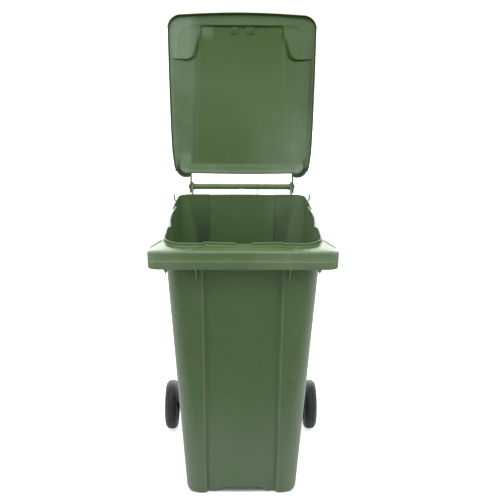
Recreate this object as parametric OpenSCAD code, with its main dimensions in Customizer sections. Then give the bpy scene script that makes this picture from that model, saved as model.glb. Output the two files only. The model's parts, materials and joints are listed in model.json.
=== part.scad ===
// Two-wheeled plastic waste bin with a comb rim, a hinged lid standing open and two rubber wheels.
// Millimetres, Z up. Front faces -Y. Origin on the ground, midway across the width and the depth.

/* [Body] */
// Width across the front rim
rim_w = 584; // [560:1:600]
// Width across the rear end of the rim
rim_rear_w = 524; // [500:1:560]
// Front face of the rim to its rear face
rim_depth = 663; // [640:1:700]
// Height of the rim's flange above the ground
rim_z = 985; // [960:1:1010]
// Height of the front comb skirt
comb_h = 62; // [50:1:70]
// Height of the side and rear skirts
skirt_h = 42; // [30:1:60]
// Height of the collar above the flange
collar_h = 10; // [6:1:30]
// Width across the collar
collar_w = 496; // [470:1:520]
// Width across the base
base_w = 400; // [370:1:440]
// Wall thickness of the tub
wall = 4; // [3:0.5:6]
// Setback of the front wall behind the rim, at the ground
base_setback = 140; // [110:1:160]
// Setback of the front wall behind the rim, at the collar
collar_setback = 42; // [35:1:60]
// Depth of the recessed front and rear panels at their edges
panel_recess = 13; // [6:1:18]
// Depth of the side panels at their ends
side_recess = 9; // [4:1:12]

/* [Handle and hinge] */
// Distance of the hinge axis behind the front of the rim
hinge_y = 705; // [690:1:730]
// Height of the hinge axis
hinge_z = 1000; // [980:1:1020]
// Diameter of the handle bar
bar_d = 22; // [20:1:30]
// Diameter of the hinge eyes
eye_d = 38; // [30:1:44]
// Diameter of the hinge pins
hinge_pin_d = 10; // [8:1:12]
// Angle of the open lid behind the vertical
lid_lean = 19.5; // [5:0.5:30]

/* [Lid] */
// Hinge axis to the front tip of the lid
lid_len = 676; // [650:1:700]
// Width of the lid near its front
lid_front_w = 580; // [560:1:590]
// Width of the lid near its hinge
lid_rear_w = 532; // [500:1:560]
// Wall thickness of the lid
lid_wall = 3; // [2:0.5:5]
// Height of the lid's crown above the hinge axis
lid_crown = 51; // [40:1:70]

/* [Wheels] */
// Diameter over the tyre
wheel_d = 200; // [180:5:300]
// Width of the tyre
tyre_w = 50; // [40:1:60]
// Width over both tyres
track_w = 616; // [560:1:640]
// Distance of the axle behind the front of the rim
axle_y = 591; // [560:1:620]
// Diameter of the axle
axle_d = 20; // [16:1:25]
// Radial clearance of the running fits
run_gap = 0.1; // [0.02:0.01:0.1]

/* [Hidden] */
// Middle of the overall depth, which is the origin
mid_y = 477.5;
collar_z = rim_z + collar_h;
flange_t = 4;
seat_z = rim_z - flange_t;
strip_x = 128;
step_x = 118;
floor_z = 30;
floor_t = 4;
ramp_z = 150;
low_belt_z = 300;
high_belt_z = 840;
swing = 90 + lid_lean;
plate_out = 194;
plate_in = 187.5;
lid_eye_in = 195;
lid_eye_out = 201;
rib_in = 132;
rib_out = 148;
rib_t = 6;
boss_out = 214;
hub_in = 216.5;
tyre_out = track_w / 2;
tyre_in = tyre_out - tyre_w;
wheel_r = wheel_d / 2;
tyre_bore_r = wheel_r - 22;
latch_x = 270;
guide_x = 252.4;
guide_t = 3.5;
guide_h = 17;
axle_end = 284;
green = [0.33, 0.43, 0.27];
lid_green = [0.36, 0.46, 0.30];
charcoal = [0.2, 0.2, 0.22];
zinc = [0.7, 0.71, 0.72];
black = [0.12, 0.12, 0.13];

// ---- outlines: closed rings of points, built as a right half from front to rear and mirrored ----

function lerp(a, b, t) = a + (b - a) * t;

function mirrored(half) = concat(
    half, [for (i = [len(half) - 2:-1:1]) [-half[i][0], half[i][1]]]);

function arc(cx, cy, r, a0, a1) = [
    for (i = [0:6]) let (a = lerp(a0, a1, i / 6)) [cx + r * cos(a), cy + r * sin(a)]];

// Unit normal of a ring at point i, pointing to the inside
function inward(ring, i) = let (
    n = len(ring),
    d = ring[(i + 1) % n] - ring[(i + n - 1) % n],
    l = norm(d)) [-d[1] / l, d[0] / l];

function inset(ring, by) = [for (i = [0:len(ring) - 1]) ring[i] + by * inward(ring, i)];

function at_height(ring, z) = [for (p = ring) [p[0], p[1], z]];

function half_width(z) = lerp(base_w, collar_w, z / collar_z) / 2;
function front_y(z) = lerp(base_setback, collar_setback, z / collar_z);
function rear_y(z) = lookup(z, [[0, 478], [floor_z, 482], [ramp_z, 592], [collar_z, 614]]);
function rear_radius(z) = lookup(z,
    [[0, 36], [ramp_z, 42], [low_belt_z, 62], [high_belt_z, 84], [collar_z, 46]]);

function tub_half(z) = let (
    w = half_width(z),
    f = front_y(z),
    r = rear_y(z),
    rf = lerp(56, 62, z / collar_z),
    rr = rear_radius(z),
    wr = w - 8,
    s1 = lerp(245, 205, z / collar_z),
    s2 = lerp(398, 447, z / collar_z),
    bow = panel_recess - 10)
    concat(
        [[0, f + bow], [40, f + bow + 1], [80, f + bow + 4.5], [step_x, f + panel_recess]],
        [[strip_x, f], [(strip_x + w - rf) / 2, f]],
        arc(w - rf, f + rf, rf, -90, 0),
        [[w, s1 - 6], [w - side_recess, s1 + 6], [w - 3.5, lerp(s1, s2, 0.3)]],
        [[w - 1.5, lerp(s1, s2, 0.5)], [w - 3.5, lerp(s1, s2, 0.7)]],
        [[w - side_recess - 1, s2 - 6], [w - 1, s2 + 6]],
        arc(wr - rr, r - rr, rr, 0, 90),
        [[(strip_x + wr - rr) / 2, r], [strip_x, r], [step_x, r - 9], [80, r - 4], [40, r - 1], [0, r]]);

function tub_ring(z) = mirrored(tub_half(z));

function rim_side(y) = lerp(rim_w, rim_rear_w, y / rim_depth) / 2;

function rim_half() = let (rc = 14, w = rim_w / 2, wr = rim_rear_w / 2)
    concat(
        [[0, 0], [45, 0], [95, 0], [140, 0], [170, 0], [220, 0]],
        arc(w - rc, rc, rc, -90, 0),
        [for (y = [120, 205, 265, 330, 390, 445, 520]) [rim_side(y), y]],
        arc(wr - rc, rim_depth - rc, rc, 0, 90),
        [[200, rim_depth], [170, rim_depth], [140, rim_depth], [95, rim_depth]],
        [[45, rim_depth], [0, rim_depth]]);

function rim_ring() = mirrored(rim_half());

// ---- skins: rings joined one after another ----

function band_faces(a, b, n) = [
    for (i = [0:n - 1]) let (j = (i + 1) % n)
        each [[a * n + i, a * n + j, b * n + j], [a * n + i, b * n + j, b * n + i]]];

// A closed skin through a list of rings, ended by a point above or below the first and last ring
module capped_skin(rings, first, last) {
    n = len(rings[0]);
    m = len(rings);
    points = concat([for (r = rings) each r], [first, last]);
    start = [for (i = [0:n - 1]) [m * n, (i + 1) % n, i]];
    finish = [for (i = [0:n - 1]) [m * n + 1, (m - 1) * n + i, (m - 1) * n + (i + 1) % n]];
    bands = [for (k = [0:m - 2]) each band_faces(k, k + 1, n)];
    faces = concat(start, bands, finish);
    polyhedron([for (p = points) p], [for (f = faces) [f[0], f[2], f[1]]]);
}

// A closed skin through a list of rings whose last ring joins the first
module looped_skin(rings) {
    n = len(rings[0]);
    m = len(rings);
    faces = [for (k = [0:m - 1]) each band_faces(k, (k + 1) % m, n)];
    polyhedron([for (r = rings) each r], [for (f = faces) [f[0], f[2], f[1]]]);
}

module placed() {
    translate([0, -mid_y, 0]) children();
}

// Extrudes a (y, z) profile along X, between two x positions
module side_plate(x0, x1) {
    translate([x0, 0, 0]) rotate([90, 0, 90]) linear_extrude(x1 - x0) children();
}

module both_sides() {
    children();
    mirror([1, 0, 0]) children();
}

// ---- body moulding ----

module foot_notch() {
    rotate([90, 0, 0]) translate([0, 0, -220]) linear_extrude(120)
        polygon([[-94, -1], [94, -1], [66, 23], [-66, 23]]);
}

module tub_shell() {
    toe = [for (s = [[3, 2], [10, 0]]) at_height(inset(tub_ring(s[0]), s[1]), s[0])];
    outer = [for (z = [floor_z, ramp_z, low_belt_z, high_belt_z, seat_z]) at_height(tub_ring(z), z)];
    inner = [for (z = [seat_z, high_belt_z, low_belt_z, ramp_z, floor_z + 8])
        at_height(inset(tub_ring(z), wall), z)];
    rings = concat(
        [at_height(inset(tub_ring(0), wall + 2), floor_z - floor_t)],
        [at_height(inset(tub_ring(0), 6 + wall), 0), at_height(inset(tub_ring(0), 6), 0)],
        toe,
        outer,
        inner,
        [at_height(inset(tub_ring(floor_z), wall + 8), floor_z)]);
    color(green) placed() difference() {
        capped_skin(rings, [0, 310, floor_z - floor_t], [0, 310, floor_z]);
        foot_notch();
    }
}

// Bottom of the skirt: deep along the front, shallow along the sides and the rear
function skirt_bottom(p) = lookup(p[1], [[14, rim_z - comb_h], [60, rim_z - comb_h], [120, rim_z - skirt_h]]);
function front_only(p, by) = p[1] < 1 ? by : 0;
function skirt_mid(p, up) = lerp(skirt_bottom(p), rim_z, 0.4) + up;

module rim_frame() {
    outer = rim_ring();
    n = len(outer) - 1;
    rings = [
        at_height(tub_ring(collar_z), collar_z),
        at_height(tub_ring(rim_z), rim_z),
        at_height(inset(outer, 4), rim_z - 1),
        [for (p = outer) [p[0], p[1] + front_only(p, 2), rim_z - 5]],
        [for (p = outer) [p[0], p[1] + front_only(p, 2), skirt_mid(p, 2)]],
        [for (p = outer) [p[0], p[1], skirt_mid(p, 0)]],
        [for (p = outer) [p[0], p[1], skirt_bottom(p)]],
        [for (i = [0:n]) let (q = inset(outer, 5)[i]) [q[0], q[1], skirt_bottom(outer[i])]],
        at_height(inset(outer, 5), seat_z),
        at_height(tub_ring(seat_z), seat_z),
        at_height(inset(tub_ring(seat_z), wall), seat_z),
        at_height(inset(tub_ring(collar_z), wall), collar_z)];
    color(green) placed() difference() {
        looped_skin(rings);
        rotate([90, 0, 0]) translate([0, 0, -70]) linear_extrude(40)
            polygon([[-27, collar_z + 1], [27, collar_z + 1], [22, collar_z - 4], [-22, collar_z - 4]]);
    }
}

// Gussets that brace the comb and the side skirts against the tub
module comb_webs() {
    side_y = 124;
    low_z = 872;
    web_t = 3;
    skirt_x = rim_side(side_y + web_t) - 5.1;
    wall_x = half_width(low_z);
    color(green) placed() both_sides() {
        side_plate(144, 148)
            polygon([[5, 930], [5, seat_z], [front_y(seat_z), seat_z], [front_y(867), 867]]);
        translate([0, side_y + web_t, 0]) rotate([90, 0, 0]) linear_extrude(web_t) polygon([
            [wall_x, low_z], [wall_x + 4, low_z - 5], [wall_x + 6, low_z - 12], [wall_x + 17, low_z + 9],
            [skirt_x, 950], [skirt_x, seat_z], [half_width(seat_z), seat_z]]);
    }
}

module lid_guides() {
    color(green) placed() both_sides() side_plate(guide_x, guide_x + guide_t)
        polygon([
            [588, rim_z - 2], [591, rim_z + guide_h - 4], [594, rim_z + guide_h],
            [600, rim_z + guide_h], [604, rim_z + guide_h - 4], [604, rim_z - 2]]);
}

module eye_plate() {
    circle(d = eye_d, $fn = 64);
}

// Hinge bracket profile in (y, z): from the rear skirt up to the eye
module bracket_shape() {
    translate([hinge_y, hinge_z]) eye_plate();
    polygon([
        [rim_depth, 946], [rim_depth, seat_z - 1], [hinge_y - 26, hinge_z + 3],
        [hinge_y - 6, hinge_z + 17], [hinge_y + 15, hinge_z - 10]]);
}

module handle_bar() {
    pin_depth = 26;
    color(green) placed() difference() {
        union() {
            both_sides() {
                side_plate(plate_in, plate_out) bracket_shape();
                side_plate(plate_out - 1, lid_eye_out - 0.5)
                    translate([hinge_y - 29, hinge_z - 6]) square([8, 9]);
            }
            translate([-plate_in - 1, hinge_y, hinge_z]) rotate([0, 90, 0])
                cylinder(d = bar_d, h = 2 * plate_in + 2, $fn = 64);
            side_plate(59.5, 62) polygon([
                [rim_depth, 950], [rim_depth, seat_z - 1], [hinge_y - 14, hinge_z + 14],
                [hinge_y, hinge_z + 17], [hinge_y + 8, hinge_z + 9], [hinge_y + 8, hinge_z - 10]]);
        }
        both_sides() translate([plate_in - pin_depth, hinge_y, hinge_z]) rotate([0, 90, 0])
            cylinder(d = hinge_pin_d + 0.1, h = pin_depth + 10, $fn = 48);
        translate([-11, hinge_y - 20, hinge_z - bar_d / 2 - 2]) cube([22, 40, 5]);
    }
}

// Bearing bosses for the axle, carried by two ribs each under the sloping rear of the tub
function ramp_at(y) = floor_z - 0.05
    + (y - rear_y(floor_z)) * (ramp_z - floor_z) / (rear_y(ramp_z) - rear_y(floor_z));

module axle_rib() {
    polygon([
        [508, ramp_at(508)], [586, ramp_at(586)], [axle_y + 15, wheel_r + 4],
        [axle_y + 8, wheel_r - 13], [axle_y - 12, wheel_r - 11]]);
}

module axle_housing() {
    boss_d = 34;
    color(green) placed() both_sides() difference() {
        union() {
            side_plate(rib_in, rib_in + rib_t) axle_rib();
            side_plate(rib_out, rib_out + rib_t) axle_rib();
            translate([rib_in - 4, axle_y, wheel_r]) rotate([0, 90, 0])
                cylinder(d = boss_d, h = boss_out - rib_in + 4, $fn = 64);
        }
        translate([rib_in - 10, axle_y, wheel_r]) rotate([0, 90, 0])
            cylinder(d = axle_d + 2 * run_gap, h = 120, $fn = 64);
    }
}

// ---- hinge pins ----

module hinge_pin_right() {
    grip = 24;
    color(black) placed() translate([0, hinge_y, hinge_z]) rotate([0, 90, 0]) {
        translate([0, 0, lid_eye_out + 0.4]) cylinder(d = 20, h = 3, $fn = 48);
        translate([0, 0, lid_eye_out + 3.3]) cylinder(d1 = 18, d2 = 13, h = 1.7, $fn = 48);
        translate([0, 0, plate_in - grip])
            cylinder(d = hinge_pin_d, h = lid_eye_out - plate_in + grip + 1, $fn = 48);
    }
}

module hinge_pin_left() {
    mirror([1, 0, 0]) hinge_pin_right();
}

// ---- lid: drawn shut over the rim, then swung open about the hinge axis ----

module opened() {
    placed() translate([0, hinge_y, hinge_z]) rotate([-swing, 0, 0]) translate([0, -hinge_y, -hinge_z])
        children();
}

function lid_side(y) = lerp(lid_front_w, lid_rear_w, (y - (hinge_y - lid_len)) / lid_len) / 2;

function lid_half() = let (rc = 52, tip = hinge_y - lid_len, w = lid_front_w / 2)
    concat(
        [[0, tip], [40, tip + 0.5], [80, tip + 1.5], [118, tip + 3], [150, tip + 5], [195, tip + 7]],
        arc(w - rc, tip + 9 + rc, rc, -90, -2),
        [for (y = [150, 205, 265, 330, 390, 470, 550]) [lid_side(y), y]],
        arc(216, hinge_y - 76, 41, 12, 90),
        [[206, hinge_y - 35], [190, hinge_y - 52], [140, hinge_y - 51]],
        [[95, hinge_y - 50], [45, hinge_y - 49.5], [0, hinge_y - 49]]);

// Edge of the raised panel, stepping round the two grip flats in the front corners
function panel_half() = let (top = hinge_y - 632)
    concat(
        [[0, top], [40, top], [80, top + 0.5], [118, top + 1], [140, top + 1], [152, top + 2]],
        [[161, 78], [166, 92], [175, 122], [186, 160], [196, 192], [208, 203], [240, 205]],
        [[272, 206], [271, 240], [269, 290], [266, 345], [264, 400], [260, 475], [257, 545]],
        arc(218, 592, 34, 10, 90),
        [[190, 625], [165, 625], [140, 625]],
        [[95, 625], [45, 625], [0, 625]]);

// Flat middle of the panel
function middle_half() =
    concat(
        [[0, 80], [40, 80], [80, 80], [112, 81], [132, 81], [144, 82]],
        [[150, 88], [153, 100], [156, 125], [160, 155], [164, 185], [167, 200], [168, 212]],
        [[169, 235], [170, 260], [171, 300], [172, 345], [173, 400], [175, 475], [176, 545]],
        arc(158, 592, 20, 0, 90),
        [[152, 612], [142, 612], [130, 612]],
        [[90, 612], [45, 612], [0, 612]]);

function shrunk(ring, t) = [for (p = ring) [p[0] * t, lerp(350, p[1], t)]];
function lifted(p) = lid_crown - 18 * pow(abs(p[0]) / 270, 2) - 6 * pow((p[1] - 350) / 270, 2)
    - 14 * pow(max(0, 290 - p[1]) / 210, 2);

module lid_shell() {
    edge = mirrored(lid_half());
    panel = mirrored(panel_half());
    middle = mirrored(middle_half());
    base = hinge_z - 12;
    outer = [
        at_height(edge, base),
        at_height(inset(edge, 1), base + 17),
        at_height(inset(edge, 6), base + 24),
        at_height(panel, base + 25),
        [for (p = inset(panel, 7)) [p[0], p[1], hinge_z + lifted(p) - 6]],
        [for (p = middle) [p[0], p[1], hinge_z + lifted(p) - 1]],
        [for (p = shrunk(middle, 0.55)) [p[0], p[1], hinge_z + lifted(p)]]];
    inner = [
        at_height(inset(edge, lid_wall), base),
        at_height(inset(edge, lid_wall + 1), base + 15),
        at_height(inset(edge, lid_wall + 5), base + 24 - lid_wall),
        at_height(inset(panel, lid_wall), base + 25 - lid_wall),
        [for (p = inset(panel, 7 + lid_wall)) [p[0], p[1], hinge_z + lifted(p) - 6 - lid_wall]],
        [for (p = middle) [p[0], p[1], hinge_z + lifted(p) - 1 - lid_wall]],
        [for (p = shrunk(middle, 0.55)) [p[0], p[1], hinge_z + lifted(p) - lid_wall]]];
    rings = concat([for (i = [6:-1:0]) inner[i]], outer);
    color(lid_green) opened()
        capped_skin(rings, [0, 350, hinge_z + lid_crown - lid_wall], [0, 350, hinge_z + lid_crown]);
}

// Two groups of short ribs inside the front of the lid
module lid_ribs() {
    rib_w = 2;
    pitch = 7;
    front = hinge_y - 624;
    rear = hinge_y - 600;
    crown_z = hinge_z + lid_crown;
    color(lid_green) opened()
        for (group = [-43, 16], i = [0:3])
            side_plate(group + i * pitch, group + i * pitch + rib_w) polygon([
                [front, crown_z - 31], [rear, crown_z - 27], [rear, crown_z - 19], [front, crown_z - 22]]);
}

// Hinge arm in (y, z) of the shut lid: an eye, and a neck that clears the stop lug
module arm_shape() {
    difference() {
        union() {
            translate([hinge_y, hinge_z]) eye_plate();
            polygon([
                [hinge_y, hinge_z + 8], [hinge_y - 30, hinge_z + 6], [hinge_y - 34, hinge_z - 10],
                [hinge_y - 58, hinge_z - 10], [hinge_y - 58, hinge_z + 14],
                [hinge_y - 40, hinge_z + 19], [hinge_y, hinge_z + 19]]);
        }
        translate([hinge_y, hinge_z]) circle(d = hinge_pin_d + 2 * run_gap, $fn = 48);
    }
}

module lid_hinge_right() {
    color(lid_green) {
        opened() side_plate(lid_eye_in, lid_eye_out) arm_shape();
        placed() side_plate(lid_eye_in, lid_eye_out) difference() {
            translate([hinge_y - 28.5, hinge_z - 18]) square([16, 11.6]);
            translate([hinge_y, hinge_z]) circle(d = eye_d - 6, $fn = 64);
        }
    }
}

module lid_hinge_left() {
    mirror([1, 0, 0]) lid_hinge_right();
}

// ---- axle and wheels ----

module both_ends() {
    children();
    mirror([0, 0, 1]) children();
}

module axle() {
    groove_w = 7;
    chamfer = 1.6;
    color(zinc) placed() translate([0, axle_y, wheel_r]) rotate([0, 90, 0]) difference() {
        union() {
            translate([0, 0, -axle_end]) cylinder(d = axle_d, h = 2 * axle_end, $fn = 64);
            both_ends() translate([0, 0, axle_end - 0.1])
                cylinder(d1 = axle_d, d2 = axle_d - 4, h = chamfer, $fn = 64);
        }
        both_ends() translate([0, 0, latch_x - groove_w / 2]) difference() {
            cylinder(d = axle_d + 2, h = groove_w, $fn = 64);
            cylinder(d = axle_d - 4, h = groove_w, $fn = 64);
        }
    }
}

// Turns a (radius, x) profile into a solid of revolution about the axle
module wheel_turned() {
    placed() translate([0, axle_y, wheel_r]) rotate([0, 90, 0]) rotate_extrude($fn = 96) children();
}

module wheel_hub_right() {
    bore_r = axle_d / 2 + run_gap;
    boss_r = 19;
    rim_in = tyre_bore_r - 5;
    color(black) {
        difference() {
            union() {
                wheel_turned() polygon([
                    [bore_r, hub_in], [boss_r - 2, hub_in], [boss_r, hub_in + 2], [boss_r, 280],
                    [rim_in, 283], [rim_in, tyre_in + 4], [tyre_bore_r, tyre_in + 4],
                    [tyre_bore_r, tyre_out - 4], [rim_in, tyre_out - 4], [rim_in, 289],
                    [boss_r + 5, 286], [boss_r + 5, 293], [boss_r - 1, 293], [boss_r - 1, 289],
                    [0, 289], [0, 287.5], [bore_r, 287.5]]);
                placed() translate([0, axle_y, wheel_r]) for (a = [22.5:45:360]) rotate([a, 0, 0])
                    translate([tyre_in + 8, boss_r - 0.5, -2]) cube([26, rim_in - boss_r + 1.5, 4]);
            }
            placed() translate([latch_x, axle_y, wheel_r]) cylinder(d = 6.2, h = 26, $fn = 32);
        }
    }
}

module wheel_hub_left() {
    mirror([1, 0, 0]) wheel_hub_right();
}

function shoulder(r, x, k, a0, a1) = [
    for (i = [0:5]) let (a = lerp(a0, a1, i / 5)) [r + k * cos(a), x + k * sin(a)]];

module tyre_right() {
    k_in = 10;
    k_out = 14;
    groove = 2;
    mid = (tyre_in + tyre_out) / 2;
    color(charcoal) wheel_turned() polygon(concat(
        [[tyre_bore_r, tyre_in + 3], [tyre_bore_r + 6, tyre_in]],
        shoulder(wheel_r - 1 - k_in, tyre_in + k_in, k_in, -90, -6),
        [[wheel_r, mid - 8], [wheel_r - groove, mid - 7], [wheel_r - groove, mid - 5], [wheel_r, mid - 4]],
        [[wheel_r, mid + 2], [wheel_r - groove, mid + 3], [wheel_r - groove, mid + 5], [wheel_r, mid + 6]],
        shoulder(wheel_r - 1 - k_out, tyre_out - k_out, k_out, 6, 90),
        [[tyre_bore_r + 6, tyre_out], [tyre_bore_r, tyre_out - 3]]));
}

module tyre_left() {
    mirror([1, 0, 0]) tyre_right();
}

module hub_cap_right() {
    color(black) wheel_turned() polygon([
        [0, 289.5], [17.5, 289.5], [17.5, 293.5], [23.5, 293.5],
        [23.5, 296], [20, 299.5], [12, 301.5], [0, 302]]);
}

module hub_cap_left() {
    mirror([1, 0, 0]) hub_cap_right();
}

// Sprung pin that drops into the axle's groove and holds the wheel on
module latch_pin_right() {
    tip_r = axle_d / 2 - 2 + 0.4;
    color(zinc) placed() translate([latch_x, axle_y, wheel_r + tip_r]) {
        cylinder(d = 6, h = 16, $fn = 32);
        translate([0, 0, 13]) cylinder(d = 9, h = 3, $fn = 32);
    }
}

module latch_pin_left() {
    mirror([1, 0, 0]) latch_pin_right();
}

tub_shell();
rim_frame();
comb_webs();
lid_guides();
handle_bar();
axle_housing();
hinge_pin_left();
hinge_pin_right();
lid_shell();
lid_ribs();
lid_hinge_left();
lid_hinge_right();
axle();
wheel_hub_left();
wheel_hub_right();
tyre_left();
tyre_right();
hub_cap_left();
hub_cap_right();
latch_pin_left();
latch_pin_right();
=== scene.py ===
import json
import math
import bmesh
import bpy
import numpy as np
from mathutils import Matrix, Vector


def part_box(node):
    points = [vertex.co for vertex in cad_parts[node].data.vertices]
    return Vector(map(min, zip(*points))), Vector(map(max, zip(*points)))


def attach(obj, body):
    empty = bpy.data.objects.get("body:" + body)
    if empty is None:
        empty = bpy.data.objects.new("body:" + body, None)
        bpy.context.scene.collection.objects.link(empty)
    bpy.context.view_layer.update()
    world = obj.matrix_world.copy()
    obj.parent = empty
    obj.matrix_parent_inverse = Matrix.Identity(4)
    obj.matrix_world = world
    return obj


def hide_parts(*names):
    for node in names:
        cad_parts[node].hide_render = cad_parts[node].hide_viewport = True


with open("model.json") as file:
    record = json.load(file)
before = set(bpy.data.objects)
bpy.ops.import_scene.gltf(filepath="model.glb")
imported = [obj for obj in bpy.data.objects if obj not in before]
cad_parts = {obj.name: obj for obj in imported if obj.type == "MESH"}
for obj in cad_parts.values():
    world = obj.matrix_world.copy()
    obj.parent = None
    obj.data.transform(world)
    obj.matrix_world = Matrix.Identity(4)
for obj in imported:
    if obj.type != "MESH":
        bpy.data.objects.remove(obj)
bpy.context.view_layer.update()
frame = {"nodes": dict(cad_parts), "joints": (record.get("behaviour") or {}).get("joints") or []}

# ---------------------------------------------------------------- places from the frame, in mm
MM = 0.001
JOINTS = {j["name"]: j for j in frame["joints"]}
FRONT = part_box("rim_frame")[0].y
HINGE = JOINTS["lid_hinge"]["pos_m"]
AXLE = JOINTS["axle_spin"]["pos_m"]
HINGE_Y = (HINGE[1] - FRONT) / MM
HINGE_Z = HINGE[2] / MM
AXLE_Y = (AXLE[1] - FRONT) / MM
AXLE_Z = AXLE[2] / MM
COLLAR_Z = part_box("rim_frame")[1].z / MM
RIM_Z = COLLAR_Z - 10
RIM_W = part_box("rim_frame")[1].x / MM
RIM_DEPTH = (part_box("rim_frame")[1].y - FRONT) / MM
COMB_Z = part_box("rim_frame")[0].z / MM
LEAN = math.radians(JOINTS["lid_hinge"]["range_deg"][1] - 90)
TYRE_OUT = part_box("tyre_right")[1].x / MM
TYRE_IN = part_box("tyre_right")[0].x / MM
WHEEL_R = (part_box("tyre_right")[1].z - AXLE[2]) / MM


def lerp(a, b, t):
    return a + (b - a) * t


def smooth(a, b, v):
    t = np.clip((np.asarray(v, float) - a) / (b - a), 0, 1)
    return t * t * (3 - 2 * t)


def to_row(points):
    p = np.asarray(points, float) * MM
    p[..., 1] += FRONT
    return p


# ---------------------------------------------------------------- mesh helpers
SHARP = 0.6     # radians between two faces whose common edge gets a bevel


def new_mesh(name, verts, faces, body, material, angle=35):
    me = bpy.data.meshes.new(name)
    me.from_pydata([tuple(v) for v in verts], [], [tuple(f) for f in faces])
    bm = bmesh.new()
    bm.from_mesh(me)
    bmesh.ops.recalc_face_normals(bm, faces=bm.faces)
    bm.to_mesh(me)
    bm.free()
    return finish_mesh(me, name, body, material, angle)


def finish_mesh(me, name, body, material, angle=35):
    me.validate()
    for p in me.polygons:
        p.use_smooth = True
    me.set_sharp_from_angle(angle=math.radians(angle))
    ob = bpy.data.objects.new(name, me)
    bpy.context.scene.collection.objects.link(ob)
    ob.data.materials.append(material)
    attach(ob, body)
    return ob


def set_level(ob, name, level):
    """Stores a level at each vertex, from 0 to 1: the pale level is painted highlight and reflection, the
    dark level painted shade, gloss polished.
    """
    layer = ob.data.attributes.new(name, "FLOAT", "POINT")
    layer.data.foreach_set("value", np.asarray(level, np.float32))


def strip_faces(a, b, n):
    return [(a + i, a + (i + 1) % n, b + (i + 1) % n, b + i) for i in range(n)]


def loft(rings, first=None, last=None):
    """A skin through rings of points, closed by a fan to a first and a last point where they are given."""
    n = len(rings[0])
    verts = np.concatenate(rings)
    faces = []
    for k in range(len(rings) - 1):
        faces += strip_faces(k * n, (k + 1) * n, n)
    extra = []
    if first is not None:
        extra.append(first)
        c = len(verts)
        faces += [((i + 1) % n, i, c) for i in range(n)]
    if last is not None:
        extra.append(last)
        c = len(verts) + len(extra) - 1
        base = (len(rings) - 1) * n
        faces += [(base + i, base + (i + 1) % n, c) for i in range(n)]
    if extra:
        verts = np.concatenate([verts, np.array(extra, float)])
    return verts, faces


def turned(profile, x_dir, segs):
    """A ring of revolution about the axle line from a closed outline of (radius, x)."""
    prof = np.array(profile, float)
    n = len(prof)
    verts = []
    for k in range(segs):
        a = 2 * math.pi * k / segs
        for r, x in prof:
            verts.append((x_dir * x, AXLE_Y + r * math.cos(a), AXLE_Z + r * math.sin(a)))
    faces = []
    for k in range(segs):
        b = ((k + 1) % segs) * n
        a = k * n
        for i in range(n):
            j = (i + 1) % n
            faces.append((a + i, a + j, b + j, b + i))
    return to_row(np.array(verts)), faces


def rounded(points, radii, n=6):
    """A closed polyline with each corner rounded by a fillet that starts that far along its edges."""
    pts = [np.array(p, float) for p in points]
    out = []
    m = len(pts)
    for i, p in enumerate(pts):
        r = radii[i] if hasattr(radii, "__len__") else radii
        a, b = pts[i - 1] - p, pts[(i + 1) % m] - p
        if r <= 0:
            out.append(p)
            continue
        pa, pb = p + a / np.linalg.norm(a) * r, p + b / np.linalg.norm(b) * r
        for t in np.linspace(0, 1, n):
            out.append((1 - t) ** 2 * pa + 2 * t * (1 - t) * p + t * t * pb)
    return np.array(out)


def from_lowest(ids):
    """The same face told from its lowest vertex, so that a mesh comes out the same on each run."""
    k = ids.index(min(ids))
    return tuple(ids[k:] + ids[:k])


def prism(profile, x0, x1, bevel):
    """A bevelled plate from a simple outline in (y, z), between two x positions."""
    bm = bmesh.new()
    lo = [bm.verts.new((x0, p[0], p[1])) for p in profile]
    hi = [bm.verts.new((x1, p[0], p[1])) for p in profile]
    n = len(profile)
    for i in range(n):
        j = (i + 1) % n
        bm.faces.new((lo[i], lo[j], hi[j], hi[i]))
    bm.faces.new(lo[::-1])
    bm.faces.new(hi)
    bmesh.ops.recalc_face_normals(bm, faces=bm.faces)
    edges = [e for e in bm.edges if len(e.link_faces) == 2
             and e.link_faces[0].normal.angle(e.link_faces[1].normal, 0) > SHARP]
    bmesh.ops.bevel(bm, geom=edges, offset=bevel, segments=2, profile=0.5, affect="EDGES",
                    clamp_overlap=True)
    bmesh.ops.triangulate(bm, faces=[f for f in bm.faces if len(f.verts) > 4])
    v = np.array([tuple(x.co) for x in bm.verts])
    bm.verts.index_update()
    f = sorted(from_lowest([x.index for x in face.verts]) for face in bm.faces)
    bm.free()
    return v, f


def joined(parts):
    verts, faces, at = [], [], 0
    for v, f in parts:
        verts.append(np.asarray(v, float))
        faces += [tuple(i + at for i in face) for face in f]
        at += len(v)
    return np.concatenate(verts), faces


# ---------------------------------------------------------------- materials
def nodes_of(name):
    m = bpy.data.materials.new(name)
    m.use_nodes = True
    nt = m.node_tree
    nt.nodes.clear()
    out = nt.nodes.new("ShaderNodeOutputMaterial")
    bsdf = nt.nodes.new("ShaderNodeBsdfPrincipled")
    nt.links.new(bsdf.outputs[0], out.inputs[0])
    return m, nt, bsdf


def noise(nt, vec, scale, detail=3.0, rough=0.5):
    n = nt.nodes.new("ShaderNodeTexNoise")
    n.inputs["Scale"].default_value = scale
    n.inputs["Detail"].default_value = detail
    n.inputs["Roughness"].default_value = rough
    nt.links.new(vec, n.inputs["Vector"])
    return n.outputs["Fac"]


def coords(nt, scale=(1, 1, 1)):
    tc = nt.nodes.new("ShaderNodeTexCoord")
    mp = nt.nodes.new("ShaderNodeMapping")
    mp.inputs["Scale"].default_value = scale
    nt.links.new(tc.outputs["Object"], mp.inputs["Vector"])
    return mp.outputs["Vector"]


def ramp(nt, fac, a, b):
    """Black below a, white above b."""
    r = nt.nodes.new("ShaderNodeValToRGB")
    r.color_ramp.elements[0].position = a
    r.color_ramp.elements[1].position = b
    nt.links.new(fac, r.inputs[0])
    return r.outputs[0]


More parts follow.
